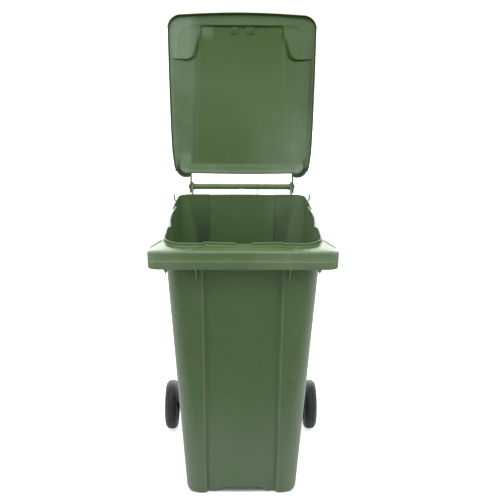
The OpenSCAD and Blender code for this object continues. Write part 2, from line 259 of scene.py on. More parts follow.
def mix(nt, fac, a, b, kind="MIX"):
    n = nt.nodes.new("ShaderNodeMix")
    n.data_type = "RGBA"
    n.blend_type = kind
    for sock, v in ((n.inputs[0], fac), (n.inputs[6], a), (n.inputs[7], b)):
        if hasattr(v, "is_linked") or hasattr(v, "links"):
            nt.links.new(v, sock)
        else:
            sock.default_value = v
    return n.outputs[2]


def math_node(nt, op, a, b=0.0):
    n = nt.nodes.new("ShaderNodeMath")
    n.operation = op
    for sock, v in ((n.inputs[0], a), (n.inputs[1], b)):
        if hasattr(v, "links"):
            nt.links.new(v, sock)
        else:
            sock.default_value = v
    return n.outputs[0]


def level(nt, name):
    n = nt.nodes.new("ShaderNodeAttribute")
    n.attribute_name = name
    return n.outputs["Fac"]


def bump(nt, height, strength, distance, normal=None):
    b = nt.nodes.new("ShaderNodeBump")
    b.inputs["Strength"].default_value = strength
    b.inputs["Distance"].default_value = distance
    nt.links.new(height, b.inputs["Height"])
    if normal is not None:
        nt.links.new(normal, b.inputs["Normal"])
    return b.outputs[0]


def linear(c):
    return c / 12.92 if c <= 0.04045 else ((c + 0.055) / 1.055) ** 2.4


def rgb(r, g, b):
    """sRGB 0-255 to linear."""
    return tuple(linear(c / 255) for c in (r, g, b)) + (1,)


# the dark tone that painted shade mixes in
SHADE_TONE = rgb(51, 58, 55)
WORN_AND_HIGHLIT = (0.52, 0.62)     # pointiness from which an edge turns pale, by wear and by painted highlight, and at which it is all pale


def plastic(name, colour, pale, rough=0.34, haze=0.06, ripple=0.10, rubbed_and_highlit=0.4, ior=1.5):
    """Satin moulded polyethylene: clouding, flow streaks, dust, edges paled by rubbing and by painted
    highlight, painted light and shade from stored levels, and a fine orange peel.
    """
    m, nt, bsdf = nodes_of(name)
    vec = coords(nt)
    long = coords(nt, (1.0, 1.0, 0.12))
    dark = tuple(c * 0.9 for c in colour[:3]) + (1,)
    cloud = ramp(nt, noise(nt, vec, 3.2, 3, 0.5), 0.3, 0.75)
    col = mix(nt, cloud, colour, dark)
    mottle = ramp(nt, noise(nt, vec, 17, 5, 0.62), 0.45, 0.8)
    col = mix(nt, math_node(nt, "MULTIPLY", mottle, haze), col, pale)
    streak = ramp(nt, noise(nt, long, 55, 3, 0.6), 0.5, 0.85)
    col = mix(nt, math_node(nt, "MULTIPLY", streak, haze * 0.8), col, pale)
    speck = ramp(nt, noise(nt, vec, 620, 2, 0.5), 0.66, 0.74)
    col = mix(nt, math_node(nt, "MULTIPLY", speck, 0.12), col, pale)
    geo = nt.nodes.new("ShaderNodeNewGeometry")
    # convex edges paled, part rubbing and part painted highlight
    edge = ramp(nt, geo.outputs["Pointiness"], *WORN_AND_HIGHLIT)
    rub_and_highlight = math_node(nt, "MULTIPLY", edge, math_node(nt, "ADD", 0.2, noise(nt, vec, 60, 4, 0.6)))
    col = mix(nt, math_node(nt, "MULTIPLY", rub_and_highlight, rubbed_and_highlit), col, pale)
    scuff = noise(nt, long, 120, 4, 0.65)
    patchy = math_node(nt, "ADD", 0.8, math_node(nt, "MULTIPLY", mottle, 0.4))
    # painted highlight and reflection, then painted shade, from the levels stored on the mesh
    col = mix(nt, math_node(nt, "MULTIPLY", level(nt, "painted_light"), patchy), col, pale)
    col = mix(nt, math_node(nt, "MULTIPLY", level(nt, "painted_shade"), patchy), col, SHADE_TONE)
    nt.links.new(col, bsdf.inputs["Base Color"])
    r = math_node(nt, "ADD", math_node(nt, "MULTIPLY", cloud, 0.05), rough)
    r = math_node(nt, "ADD", r, math_node(nt, "MULTIPLY", ramp(nt, scuff, 0.52, 0.8), 0.12))
    r = math_node(nt, "SUBTRACT", r, math_node(nt, "MULTIPLY", level(nt, "gloss"), 0.16))
    nt.links.new(r, bsdf.inputs["Roughness"])
    b = bump(nt, noise(nt, vec, 6, 2, 0.4), ripple, 0.006)
    b = bump(nt, scuff, 0.05, 0.0005, b)
    b = bump(nt, noise(nt, vec, 1100, 2, 0.5), 0.12, 0.0002, b)
    nt.links.new(b, bsdf.inputs["Normal"])
    bsdf.inputs["IOR"].default_value = ior
    return m


def rubber(name):
    m, nt, bsdf = nodes_of(name)
    vec = coords(nt)
    cloud = ramp(nt, noise(nt, vec, 30, 4, 0.6), 0.35, 0.7)
    col = mix(nt, cloud, rgb(47, 47, 52), rgb(35, 35, 39))
    dust = ramp(nt, noise(nt, vec, 140, 5, 0.7), 0.5, 0.75)
    col = mix(nt, math_node(nt, "MULTIPLY", dust, 0.25), col, rgb(98, 97, 100))
    nt.links.new(col, bsdf.inputs["Base Color"])
    nt.links.new(math_node(nt, "ADD", 0.52, math_node(nt, "MULTIPLY", dust, 0.25)), bsdf.inputs["Roughness"])
    b = bump(nt, noise(nt, vec, 220, 4, 0.6), 0.25, 0.0006)
    b = bump(nt, noise(nt, vec, 1600, 2, 0.5), 0.25, 0.0003, b)
    nt.links.new(b, bsdf.inputs["Normal"])
    return m


def black_plastic(name):
    m, nt, bsdf = nodes_of(name)
    vec = coords(nt)
    cloud = ramp(nt, noise(nt, vec, 24, 4, 0.6), 0.35, 0.7)
    col = mix(nt, cloud, rgb(38, 38, 42), rgb(28, 28, 31))
    geo = nt.nodes.new("ShaderNodeNewGeometry")
    edge = ramp(nt, geo.outputs["Pointiness"], *WORN_AND_HIGHLIT)
    col = mix(nt, math_node(nt, "MULTIPLY", edge, 0.35), col, rgb(92, 92, 96))
    nt.links.new(col, bsdf.inputs["Base Color"])
    nt.links.new(math_node(nt, "ADD", 0.42, math_node(nt, "MULTIPLY", cloud, 0.16)), bsdf.inputs["Roughness"])
    b = bump(nt, noise(nt, vec, 1200, 2, 0.5), 0.3, 0.0003)
    nt.links.new(b, bsdf.inputs["Normal"])
    return m


def zinc(name):
    m, nt, bsdf = nodes_of(name)
    turn = coords(nt, (1.0, 30.0, 30.0))
    vec = coords(nt)
    drawn = noise(nt, turn, 60, 3, 0.6)
    col = mix(nt, ramp(nt, noise(nt, vec, 90, 4, 0.6), 0.4, 0.7), rgb(176, 178, 180), rgb(140, 141, 140))
    nt.links.new(col, bsdf.inputs["Base Color"])
    bsdf.inputs["Metallic"].default_value = 1.0
    nt.links.new(math_node(nt, "ADD", 0.26, math_node(nt, "MULTIPLY", drawn, 0.22)), bsdf.inputs["Roughness"])
    nt.links.new(bump(nt, drawn, 0.15, 0.0004), bsdf.inputs["Normal"])
    return m


BODY_MAT = plastic("body_plastic", rgb(73, 98, 55), rgb(129, 144, 117))
# the lid's green is set darker than the body's: painted shade against the stronger light the lid receives
LID_MAT = plastic("lid_plastic", rgb(55, 82, 26), rgb(125, 143, 124),
                  rough=0.36, haze=0.03, rubbed_and_highlit=0.2, ior=1.38)
RUBBER = rubber("tyre_rubber")
BLACK = black_plastic("black_plastic")
ZINC = zinc("axle_steel")

# ---------------------------------------------------------------- the tub, rim and collar: one skin
FLOOR_Z = 30.0
SEAT_Z = RIM_Z - 4      # the height of the flange's underside
WALL = 4.2
FOOT_R = 8              # the round under the foot's edge
FLOOR_R = 9             # the round between the floor and the wall, inside
# the tub's outline, each as its value at the foot and at the collar's height
WIDTH = (400, 496)
FRONT_Y = (140, 42)
FRONT_RADIUS = (56, 62)
RECESS_START = (245, 205)
RECESS_END = (398, 447)
REAR_IN = 8             # how much narrower the tub is behind its side recess
PANEL_X = 118           # half width of the bowed front and rear panels
COLUMN_X = 128          # where the corner columns start, past the step beside each panel
FRONT_STEP = 13
REAR_STEP = 9


def fillet(a, p, b, d, n=5):
    a, p, b = (np.array(v, float) for v in (a, p, b))
    pa = p + (a - p) / np.linalg.norm(a - p) * d
    pb = p + (b - p) / np.linalg.norm(b - p) * d
    t = np.linspace(0, 1, n)[:, None]
    return (1 - t) ** 2 * pa + 2 * t * (1 - t) * p + t * t * pb


# x positions across the bowed front and rear panels
BOW_X = np.array([0, 7, 14, 20, 22, 24, 27, 29, 36, 44, 52, 60, 64.5, 67.5, 74, 80, 86, 92, 95.5, 100,
                  106, 112])


def rear_line(z):
    zs = z + np.linspace(-9, 9, 7)
    return float(np.mean(np.interp(zs, [0, FLOOR_Z, 150, COLLAR_Z], [478, 482, 592, 614])))


def rear_radius(z):
    return float(np.interp(z, [0, 150, 300, 840, COLLAR_Z], [36, 42, 62, 84, 46]))


def tub_half(z):
    """Half of the tub's outline at a height, from the middle of its front round to the middle of its rear."""
    k = z / COLLAR_Z
    w = lerp(*WIDTH, k) / 2
    f = lerp(*FRONT_Y, k)
    r = rear_line(z)
    rf, rr = lerp(*FRONT_RADIUS, k), rear_radius(z)
    wr = w - REAR_IN
    s1, s2 = lerp(*RECESS_START, k), lerp(*RECESS_END, k)

    def bow_f(x):
        return f + FRONT_STEP - 10 + 10 * (x / PANEL_X) ** 2

    def bow_r(x):
        return r - REAR_STEP * (x / PANEL_X) ** 2

    out = [np.stack([BOW_X, bow_f(BOW_X)], 1)]
    a, b = (PANEL_X, f + FRONT_STEP), (COLUMN_X, f)
    out += [fillet((112, bow_f(112)), a, b, 4.2), fillet(a, b, (140, f), 4.2)]
    xs = np.linspace(136, w - rf - 2, 6)
    out.append(np.stack([xs, np.full(6, f)], 1))
    t = np.radians(np.linspace(-90, 0, 16))
    out.append(np.stack([w - rf + rf * np.cos(t), f + rf + rf * np.sin(t)], 1))
    ys = np.linspace(f + rf + 4, s1 - 14, 7)
    out.append(np.stack([np.full(7, w), ys], 1))
    c, d = (w, s1 - 6), (w - 9, s1 + 6)
    out += [fillet((w, s1 - 14), c, d, 5), fillet(c, d, (w - 9, s1 + 14), 5)]
    t = np.linspace(0.05, 0.95, 15)
    xs = w - 9 + 8.2 * np.sin(np.pi * t) ** 1.2 - t
    out.append(np.stack([xs, lerp(s1 + 6, s2 - 6, t)], 1))
    e, g = (w - 10, s2 - 6), (w - 1, s2 + 6)
    out += [fillet((w - 10, s2 - 14), e, g, 5), fillet(e, g, (w - 1, s2 + 14), 5)]
    t = np.linspace(0.12, 0.97, 7)
    out.append(np.stack([w - 1 - 7 * t ** 1.7, lerp(s2 + 6, r - rr, t)], 1))
    t = np.radians(np.linspace(0, 90, 14))
    out.append(np.stack([wr - rr + rr * np.cos(t), r - rr + rr * np.sin(t)], 1))
    xs = np.linspace(wr - rr - 3, 136, 5)
    out.append(np.stack([xs, np.full(5, r)], 1))
    h, i = (COLUMN_X, r), (PANEL_X, r - REAR_STEP)
    out += [fillet((140, r), h, i, 3.6), fillet(h, i, (112, bow_r(112)), 3.6)]
    xs = BOW_X[::-1]
    out.append(np.stack([xs, bow_r(xs)], 1))
    return np.concatenate(out)


# how many points each stretch of tub_half has, and where along it each stretch starts
PIECES = [len(BOW_X), 10, 6, 16, 7, 10, 15, 10, 7, 14, 5, 10, len(BOW_X)]
STARTS = np.concatenate([[0], np.cumsum(PIECES)])
STEP_START, STEP_END = STARTS[1], STARTS[2]     # the step beside the front panel
FRONT_END, ARC_END = STARTS[3], STARTS[4]       # the front corner's arc
REAR_ARC, REAR_END = STARTS[9], STARTS[10]      # the rear corner's arc
REAR_STEP_START = STARTS[11]
HALF_N = STARTS[-1]


def mirrored(half):
    back = half[-2:0:-1].copy()
    back[:, 0] *= -1
    return np.concatenate([half, back])


def mirror_index(values):
    return np.concatenate([values, values[-2:0:-1]])


def inward(ring):
    d = np.roll(ring, -1, 0) - np.roll(ring, 1, 0)
    d /= np.linalg.norm(d, axis=1)[:, None]
    return np.stack([-d[:, 1], d[:, 0]], 1)


def inset(ring, by):
    by = np.asarray(by, float)
    return ring + inward(ring) * (by[:, None] if by.ndim else by)


def tub(z, by=0.0):
    return inset(mirrored(tub_half(z)), by)


RIM_TAPER = 30     # how much less the rim's half width is at its rear
RIM_R = 13.0
MITRE = 46.0       # how far back the rim's front corners reach


def rim_side(y):
    return lerp(RIM_W, RIM_W - RIM_TAPER, y / RIM_DEPTH)


def rim_half():
    """Half of the rim's outer outline, point for point beside tub_half."""
    half = tub_half(COLLAR_Z)
    out = np.zeros_like(half)
    rc, mitre = RIM_R, MITRE
    cx = RIM_W - rc
    n = FRONT_END
    out[:n, 0] = half[:n, 0] * (cx / half[n, 0])
    arc_n = ARC_END - FRONT_END
    t = np.radians(np.linspace(-90, 0, arc_n - 5))
    out[n:n + arc_n - 5] = np.stack([cx + rc * np.cos(t), rc + rc * np.sin(t)], 1)
    ys = np.linspace(rc, mitre, 6)[1:]
    out[ARC_END - 5:ARC_END] = np.stack([rim_side(ys), ys], 1)
    y0, y1 = half[ARC_END - 1, 1], half[REAR_ARC, 1]
    ys = mitre + (half[ARC_END:REAR_ARC, 1] - y0) * (RIM_DEPTH - rc - mitre) / (y1 - y0)
    out[ARC_END:REAR_ARC] = np.stack([rim_side(ys), ys], 1)
    wr = rim_side(RIM_DEPTH)
    t = np.radians(np.linspace(0, 90, REAR_END - REAR_ARC))
    out[REAR_ARC:REAR_END] = np.stack([wr - rc + rc * np.cos(t), RIM_DEPTH - rc + rc * np.sin(t)], 1)
    out[REAR_END:, 0] = half[REAR_END:, 0] * ((wr - rc) / half[REAR_END - 1, 0])
    out[REAR_END:, 1] = RIM_DEPTH
    return out


RIM = mirrored(rim_half())
RIM_IN = inward(RIM)
INDEX = mirror_index(np.arange(HALF_N))
IS_FRONT = INDEX < ARC_END - 1


def at(ring, z):
    z = np.broadcast_to(np.asarray(z, float), (len(ring),))
    return np.column_stack([ring, z])


def rim_at(by, z):
    by = np.broadcast_to(np.asarray(by, float), (len(RIM),))
    return at(RIM + RIM_IN * by[:, None], z)


# heights round the rim: the skirt's lower edge, the flange's top, and the ledge line on the comb
RX, RY = np.abs(RIM[:, 0]), RIM[:, 1]
SKIRT = np.interp(RY, [1, 14, 40, 110], [COMB_Z + 2.5, COMB_Z + 9, COMB_Z + 12, RIM_Z - 42])
SKIRT = np.where(RY < 1, COMB_Z + 2.5 * smooth(RIM_W - 20, RIM_W - 12, RX), SKIRT)
TOP = np.where(IS_FRONT, RIM_Z - 1.6, RIM_Z)
LEDGE = np.where(RY < 14, COMB_Z + 26.5, lerp(SKIRT, RIM_Z, 0.4))
LEDGE_IN = np.where(RY < 14, 2.6 * (1 - smooth(RIM_W - 18, RIM_W - 8, RX)), 0)


LIP_NOTCH = (22, 27.5)     # half width of the dip in the collar's lip, at its foot and at its top
LIP_DIP = 4.2
FOOT_NOTCH = (66, 94)      # half width of the foot notch, at its top and at the floor
FOOT_LIFT = 23
UNDER_Z = 26               # the height of the floor's underside


def notch(ring3):
    """Lowers the collar's lip in the middle of its front."""
    p = ring3.copy()
    m = (1 - smooth(*LIP_NOTCH, np.abs(p[:, 0]))) * (p[:, 1] < 200)
    k = np.clip((p[:, 2] - RIM_Z) / 10, 0, 1)
    p[:, 2] -= LIP_DIP * m * k
    return p


def foot(ring3):
    """Lifts the bottom edge over the foot notch in the middle of the front."""
    p = ring3.copy()
    low = FOOT_LIFT * np.interp(np.abs(p[:, 0]), FOOT_NOTCH, [1, 0]) * (p[:, 1] < 260)
    k = np.clip(1 - p[:, 2] / UNDER_Z, 0, 1)
    p[:, 2] += low * k
    return p


# the underside and the foot's edge, as (inset, height)
UNDERSIDE = ((60, UNDER_Z), (12, UNDER_Z), (9.5, 25.4), (8.5, 23), (9, 6), (9.6, 1.5), (10.2, 0.3), (11, 0))
rings = [foot(at(tub(0, by), z)) for by, z in UNDERSIDE]
for a in np.radians((90, 72, 54, 36, 20, 8)):
    z = FOOT_R * (1 - math.sin(a))
    rings.append(foot(at(tub(z, FOOT_R * (1 - math.cos(a))), z)))
# heights of the tub wall's rings
UP = [12, 18, 24, 30, 36, 46, 62, 80, 98, 116, 130, 139, 145, 150, 155, 161, 172, 200, 260, 330, 400,
      480, 560, 640, 720, 800, 860, 910, 940, 960, 970, 976]
for z in UP:
    rings.append(foot(at(tub(z), z)) if z < UNDER_Z else at(tub(z), z))
rings += [at(tub(979, -0.5), 979), at(tub(980.3, -1.6), 980.3), at(tub(SEAT_Z, -3.6), SEAT_Z)]
seat_ring, inner_edge = rings[-1], rim_at(7.5, SEAT_Z)
rings += [lerp(seat_ring, inner_edge, t) for t in (0.2, 0.5, 0.8, 1.0)]
comb_start = len(rings)
SKIRT_IN = 5.0
rings += [rim_at(5.8, SEAT_Z - 0.6), rim_at(SKIRT_IN, SEAT_Z - 2.4)]
rings += [rim_at(SKIRT_IN, lerp(SEAT_Z - 2.4, SKIRT, 0.5)), rim_at(SKIRT_IN, SKIRT + 2.0)]
rings += [rim_at(4.6, SKIRT + 0.6), rim_at(3.8, SKIRT), rim_at(1.9, SKIRT), rim_at(0.7, SKIRT + 0.5)]
rings += [rim_at(0.15, SKIRT + 1.4), rim_at(0.0, SKIRT + 3.2)]
rings += [rim_at(0.0, LEDGE - 1.8), rim_at(0.12, LEDGE - 0.7), rim_at(LEDGE_IN * 0.25, LEDGE - 0.1)]
rings += [rim_at(LEDGE_IN * 0.8, LEDGE + 0.5), rim_at(LEDGE_IN, LEDGE + 1.6)]
rings += [rim_at(LEDGE_IN, lerp(LEDGE, TOP, 0.5))]
EDGE_R = 6.5      # the round at the flange's outer edge
EDGE_DROP = 2.5
for a in np.radians((0, 12, 26, 40, 54, 68, 80, 90)):
    rings.append(rim_at(LEDGE_IN + EDGE_R * (1 - math.cos(a)), TOP - EDGE_DROP - EDGE_R * (1 - math.sin(a))))
edge_ring = rings[-1]
flange_start = len(rings) - 2
foot_ring = at(tub(RIM_Z, -6), TOP + 0.2)
for t in (0.12, 0.3, 0.5, 0.7, 0.88, 1.0):
    r = lerp(edge_ring, foot_ring, t)
    r[:, 2] = lerp(TOP - EDGE_DROP, TOP + 0.2, t)
    rings.append(r)
flange_end = len(rings)
for up, by, rise in ((0, -3.6, 0.6), (1, -1.8, 1.5), (2, -0.6, 2.9)):
    rings.append(at(tub(RIM_Z + up, by), TOP + rise))
rings += [at(tub(RIM_Z + 4, 0), np.maximum(TOP + 4.6, RIM_Z + 3.6))]
# the collar's lip, as (inset, height above the flange)
for by, z in ((0, 7.6), (0.25, 8.8), (0.9, 9.6), (2.2, 10), (3.6, 9.7), (4.4, 8.9), (4.7, 7.4)):
    rings.append(notch(at(tub(COLLAR_Z, by), RIM_Z + z)))
inside_start = len(rings)
rings.append(notch(at(tub(RIM_Z + 3, 4.6), RIM_Z + 3)))
for z in [985, 976, 955] + UP[-4::-1]:
    if z > FLOOR_Z + FLOOR_R + 5:
        rings.append(at(tub(z, WALL), z))
for a in np.radians((0, 22, 45, 68, 90)):
    z = FLOOR_Z + FLOOR_R * (1 - math.sin(a))
    rings.append(at(tub(z, WALL + FLOOR_R * (1 - math.cos(a))), z))
rings.append(at(tub(FLOOR_Z, 70), FLOOR_Z))
MIDDLE_Y = 310
v, f = loft([to_row(r) for r in rings], to_row((0, MIDDLE_Y, UNDER_Z)), to_row((0, MIDDLE_Y, FLOOR_Z)))
shell = new_mesh("body_shell", v, f, "body", BODY_MAT, 40)
# painted light and shade by place: outside low down, beside the front panel steps and on the right; along the
# comb; inside on the right and beside the rear steps
painted_light, gloss, painted_shade = np.zeros(len(v)), np.zeros(len(v)), np.zeros(len(v))
place = np.resize(INDEX, len(v))
outside = np.arange(len(v)) < comb_start * len(RIM)
inside = np.arange(len(v)) >= inside_start * len(RIM)
low = 1 - smooth(0.25, 0.38, v[:, 2])
right_side = 0.08 * smooth(0.10, 0.20, v[:, 0])
step_mid = STEP_START + 5
# painted floor reflection low down: the outside's bottom is paled here and darkened below into a greyer band;
# the right side painted lighter; a painted highlight along each front step's convex edge
painted_light += outside * (0.12 * low + right_side + 0.25 * ((place > step_mid) & (place < STEP_END - 1)))
# painted shade low down and in the concave corner of each front step
painted_shade += outside * (0.28 * low + 0.25 * ((place > STEP_START) & (place < step_mid)))
comb = slice(comb_start * len(RIM), flange_start * len(RIM))
cx = v[comb, 0]
comb_sides = np.maximum(smooth(0.16, 0.24, -cx), smooth(0.0, 0.1, cx))
# painted light: the comb lighter all along, more at its left end and over its right half, palest at its two
# ends
painted_light[comb] = 0.1 + 0.2 * comb_sides + 0.3 * smooth(0.262, 0.288, np.abs(cx))
gloss[flange_start * len(RIM):flange_end * len(RIM)] = 1.0
# painted light inside, growing towards the right
painted_light[inside] = 0.12 + 0.26 * smooth(0.04, 0.16, v[inside, 0])
# painted shade inside beside the rear steps, stronger on the left and fading out near the top
by_step = (place >= REAR_END - 3) & (place < REAR_STEP_START + 2)
deep = np.where(v[:, 0] < 0, 0.8, 0.45)
painted_shade += inside * by_step * lerp(deep, 0.1, smooth(0.78, 0.97, v[:, 2]))
set_level(shell, "painted_light", painted_light)
set_level(shell, "gloss", gloss)
set_level(shell, "painted_shade", painted_shade)
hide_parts("tub_shell", "rim_frame")

# ---------------------------------------------------------------- lid
U_DIR = np.array([0, math.sin(LEAN), math.cos(LEAN)])
N_DIR = np.array([0, math.cos(LEAN), -math.sin(LEAN)])


def lid_point(x, u, n):
    """A point on the open lid, from x, its distance u from the hinge axis and its height n when shut."""
    x, u, n = np.broadcast_arrays(x, u, n)
    p = np.zeros(x.shape + (3,))
    p[..., 0] = x
    p += u[..., None] * U_DIR + n[..., None] * N_DIR
    p[..., 1] += HINGE_Y
    p[..., 2] += HINGE_Z
    return p


LID_LEN = 676.0
IN = 5.5                # the side wall's reach outside the inner face
EDGE_U = LID_LEN - IN
TIP_DROP = 9.0          # how far the front edge's ends lie behind its middle
CORNER_X, CORNER_U, CORNER_R = 238.0, 615.0, 46.5
HEEL_X, HEEL_U, HEEL_R = 216, 76, 35.5      # the rear corners of the inner face
LIP_R = HEEL_R + IN
REAR_U = 57.0           # the rear edge, which steps back by HEEL_DROP beside the arms
HEEL_DROP = 16.0
REAR_BEND, FRONT_BEND = 110, 590            # rows of the grid are straight between these
PANEL_END = 632         # the front end of the flat middle panel
SPLIT_U = 500           # where the grip flats start
SIDE_U = [67.5, 85, 105, 130, 155, 235, 340, 450, 555, 610, 632]
SIDE_X = [256.3, 261.8, 266.0, 269.6, 271.8, 276.2, 280.6, 284.9, 288.4, 289.9, 290.0]


def side_x(u):
    return np.interp(u, SIDE_U, SIDE_X)


def rear_u(x):
    bow = 2.5 * (np.abs(x) < 190) * (1 - (x / 190) ** 2)
    return REAR_U - bow - HEEL_DROP * smooth(196, 209, np.abs(x))


def tip_u(x):
    return EDGE_U - TIP_DROP * np.clip(np.abs(x) / 235, 0, 1) ** 1.8


def row_u(big_u, x):
    """The u of a grid point: rows follow the lid's rear and front edges near its ends."""
    fr = np.clip((REAR_BEND - big_u) / (REAR_BEND - REAR_U), 0, 1)
    ff = np.clip((big_u - FRONT_BEND) / (EDGE_U - FRONT_BEND), 0, 1)
    return big_u + (rear_u(x) - REAR_U) * fr + (tip_u(x) - EDGE_U) * ff


def row_width(big_u):
    """Half width of the lid's inner face at the end of a row, round the front corner."""
    u = big_u - TIP_DROP * max(0.0, (big_u - FRONT_BEND) / (EDGE_U - FRONT_BEND))
    if u <= CORNER_U:
        return side_x(u) - IN
    return CORNER_X + math.sqrt(CORNER_R ** 2 - (u - CORNER_U) ** 2)


def panel_x(u):
    """Half width of the flat middle panel."""
    return np.interp(u, [90, PANEL_END], [178.6, 165.0])


def bead(t):
    """A smooth bump one unit high and about two units wide."""
    return np.exp(-t * t)


# rows of the grid as (u, half width): closer together at the corners and where the face bends
rows = []
bend = REAR_BEND - REAR_U
for th in np.radians(np.linspace(90, 12, 9)):
    u = HEEL_U - HEEL_R * math.sin(th)
    rows.append(((u + HEEL_DROP * REAR_BEND / bend) / (1 + HEEL_DROP / bend), HEEL_X + HEEL_R * math.cos(th)))
us = [74, 78, 82, 85, 87, 89, 91, 94, 98, 103, 108, 114, 122, 132, 145]
us += list(np.arange(160, 480, 14.0)) + [484, 490, 494, 496.5, 498.5, 500.5, 502.5, 505, 508, 512]
us += list(np.arange(517, 600, 5.5)) + list(np.arange(601, 647, 2.5))
rows += [(u, row_width(u)) for u in us]
k = TIP_DROP / (EDGE_U - FRONT_BEND)
first = math.asin((us[-1] - k * (us[-1] - FRONT_BEND) - CORNER_U) / CORNER_R)
for th in np.linspace(first, math.pi / 2, 9)[1:]:
    u = CORNER_U + CORNER_R * math.sin(th)
    rows.append(((u - FRONT_BEND * k) / (1 - k), CORNER_X + CORNER_R * math.cos(th)))
rows = sorted(rows)
rows[0] = (REAR_U, rows[0][1])
rows[-1] = (EDGE_U, rows[-1][1])

STEPS = ((32.4, 0.022), (47.4, 0.022), (59.4, 0.014), (68.4, 0.014))     # the channels: place, height
# places of the grid's lines inward from the lid's side, close together at the channels
DX = np.array([0, 2, 4.5, 8, 12, 17, 22, 27, 31, 32.4, 33.8, 40, 46, 47.4, 48.8, 54, 58, 59.4, 60.8, 65,
               67, 68.4, 69.8])
MIDC = np.linspace(0, 1, 12)      # across the slope beside the panel
INNER = np.linspace(0, 1, 30)     # across half of the panel
xs_rows, us_rows = [], []
for big_u, w in rows:
    xb = float(panel_x(big_u))
    g = min(1.0, (w - xb - 8) / 74.0)
    outer = w - DX * g
    mid_hi, mid_lo = outer[-1] - 1.0 * g, xb + 1.6
    right = np.concatenate([
        (xb - 1.6) * INNER, [xb - 0.8, xb, xb + 0.8], lerp(mid_lo, mid_hi, MIDC), outer[::-1]])
    right = np.maximum.accumulate(right)
    x = np.concatenate([-right[:0:-1], right])
    xs_rows.append(x)
    us_rows.append(row_u(big_u, x))
GX, GU = np.array(xs_rows), np.array(us_rows)


def polyline_distance(x, u, pts):
    best = np.full(x.shape, 1e9)
    for (ax, ay), (bx, by) in zip(pts[:-1], pts[1:]):
        dx, dy = bx - ax, by - ay
        t = np.clip(((x - ax) * dx + (u - ay) * dy) / (dx * dx + dy * dy), 0, 1)
        best = np.minimum(best, np.hypot(x - ax - t * dx, u - ay - t * dy))
    return best


# the line in (x, u) where the crown drops to the grip flats
GRIP = [(0, PANEL_END), (150, PANEL_END), (157, 630.5), (162, 627), (165, 620), (167, 610),
        (195, 516), (199, 507), (205, 502.5), (213, 501), (330, SPLIT_U)]
CROWN = 45.0      # the crown's height in the middle
FLAT = 9.5        # the grip flats' height


def heel_edge(ax, u):
    """Distance in from the lid's outline, round a rear corner."""
    return LIP_R - np.hypot(np.maximum(ax - HEEL_X, 0), np.maximum(HEEL_U - u, 0))


def near_heel(x, u):
    return smooth(200, HEEL_X, np.abs(x)) * (1 - smooth(70, 92, u))


def under(x, u):
    """Height of the lid's inner face above the hinge axis, with the lid shut."""
    ax = np.abs(x)
    line = np.interp(ax, [p[0] for p in GRIP], [p[1] for p in GRIP])
    d = polyline_distance(ax, u, GRIP) * np.where(u < line, 1, -1)
    slope = smooth(SPLIT_U, 516, u) * (1 - smooth(606, 622, u)) * (1 - smooth(205, 216, ax))
    wall = smooth(-0.5, lerp(4.5, 17.0, slope), d)
    dome = CROWN - 17.0 * (ax / 270) ** 2 - 5.0 * ((u - 355) / 270) ** 2
    dome = dome - 14.0 * np.clip((u - 415) / 210, 0, None) ** 2
    heel = np.interp(u, [HEEL_U - 36, HEEL_U], [HEEL_X, HEEL_X + LIP_R])
    w = np.where(u < HEEL_U, heel, np.where(u > 632, 290, side_x(u)))
    dx = w - ax - IN
    rise = np.interp(dx, [0, 5, 14, 30, 48, 72, 112], [0.0, 0.04, 0.34, 0.55, 0.74, 0.9, 1.0])
    for at_dx, h in STEPS:
        rise = rise + h * (smooth(at_dx - 0.9, at_dx + 0.9, dx) - 0.5)
    rise = np.clip(rise, 0, 1)
    rise = rise * (1 - smooth(100, 130, dx)) + smooth(100, 130, dx)
    flat = FLAT + 1.2 * smooth(2, 30, np.minimum(dx, LID_LEN - u))
    rear = smooth(58, 90, u) * 0.94 + 0.06 * smooth(87.0, 89.5, u)
    h = flat + (dome - flat) * wall * rise * rear
    # the panel's raised outline
    h = h - 1.1 * bead(ax - panel_x(u)) * smooth(92, 96, u) * (1 - smooth(618, 628, u))
    # two faint contours in the grip flats, round the corner
    corner = np.hypot(np.maximum(ax - 190, 0), np.maximum(u - 572, 0))
    for rad, depth in ((50, 0.8), (59, 1.1)):
        h = h + depth * smooth(rad + 1.6, rad - 1.6, corner) * (u > 502) * (1 - wall) * (ax > 150)
    # the deep channel behind the lip in each rear corner
    lip = heel_edge(ax, u)
    lip = np.where(u > HEEL_U, LIP_R - (ax - HEEL_X), lip)
    h = h + 9.0 * bead((lip - 11.5) / 4.0) * (1 - smooth(88, 118, u)) * smooth(196, 212, ax)
    # gate marks and vent dots
    for cx, cu, r, hh in ((0, 386, 3.2, -1.4), (0, 154, 3.2, -1.4),
                          (-176, 104, 3.4, 3.0), (176, 104, 3.4, 3.0)):
        h = h + hh * (1 - smooth(r * 0.5, r, np.hypot(x - cx, u - cu)))
    return h


GN = under(GX, GU)
A = lid_point(GX, GU, GN)
nrm = np.cross(np.gradient(A, axis=1), np.gradient(A, axis=0))
nrm /= np.linalg.norm(nrm, axis=2)[..., None] + 1e-12
if (nrm @ N_DIR).mean() < 0:
    nrm = -nrm
LID_WALL = 3.0
B = A + nrm * LID_WALL
NR, NC = GX.shape
border = [(0, j) for j in range(NC)] + [(i, NC - 1) for i in range(1, NR)]
border += [(NR - 1, j) for j in range(NC - 2, -1, -1)] + [(i, 0) for i in range(NR - 2, 0, -1)]
bi = np.array(border)
loop = np.stack([GX[bi[:, 0], bi[:, 1]], GU[bi[:, 0], bi[:, 1]]], 1)
out_n = -inward(loop)
for _ in range(2):
    out_n = (np.roll(out_n, 1, 0) + 2 * out_n + np.roll(out_n, -1, 0)) / 4
out_n /= np.linalg.norm(out_n, axis=1)[:, None]
edge_n = GN[bi[:, 0], bi[:, 1]]
if (out_n[:, 0] * loop[:, 0]).sum() < 0:
    out_n = -out_n
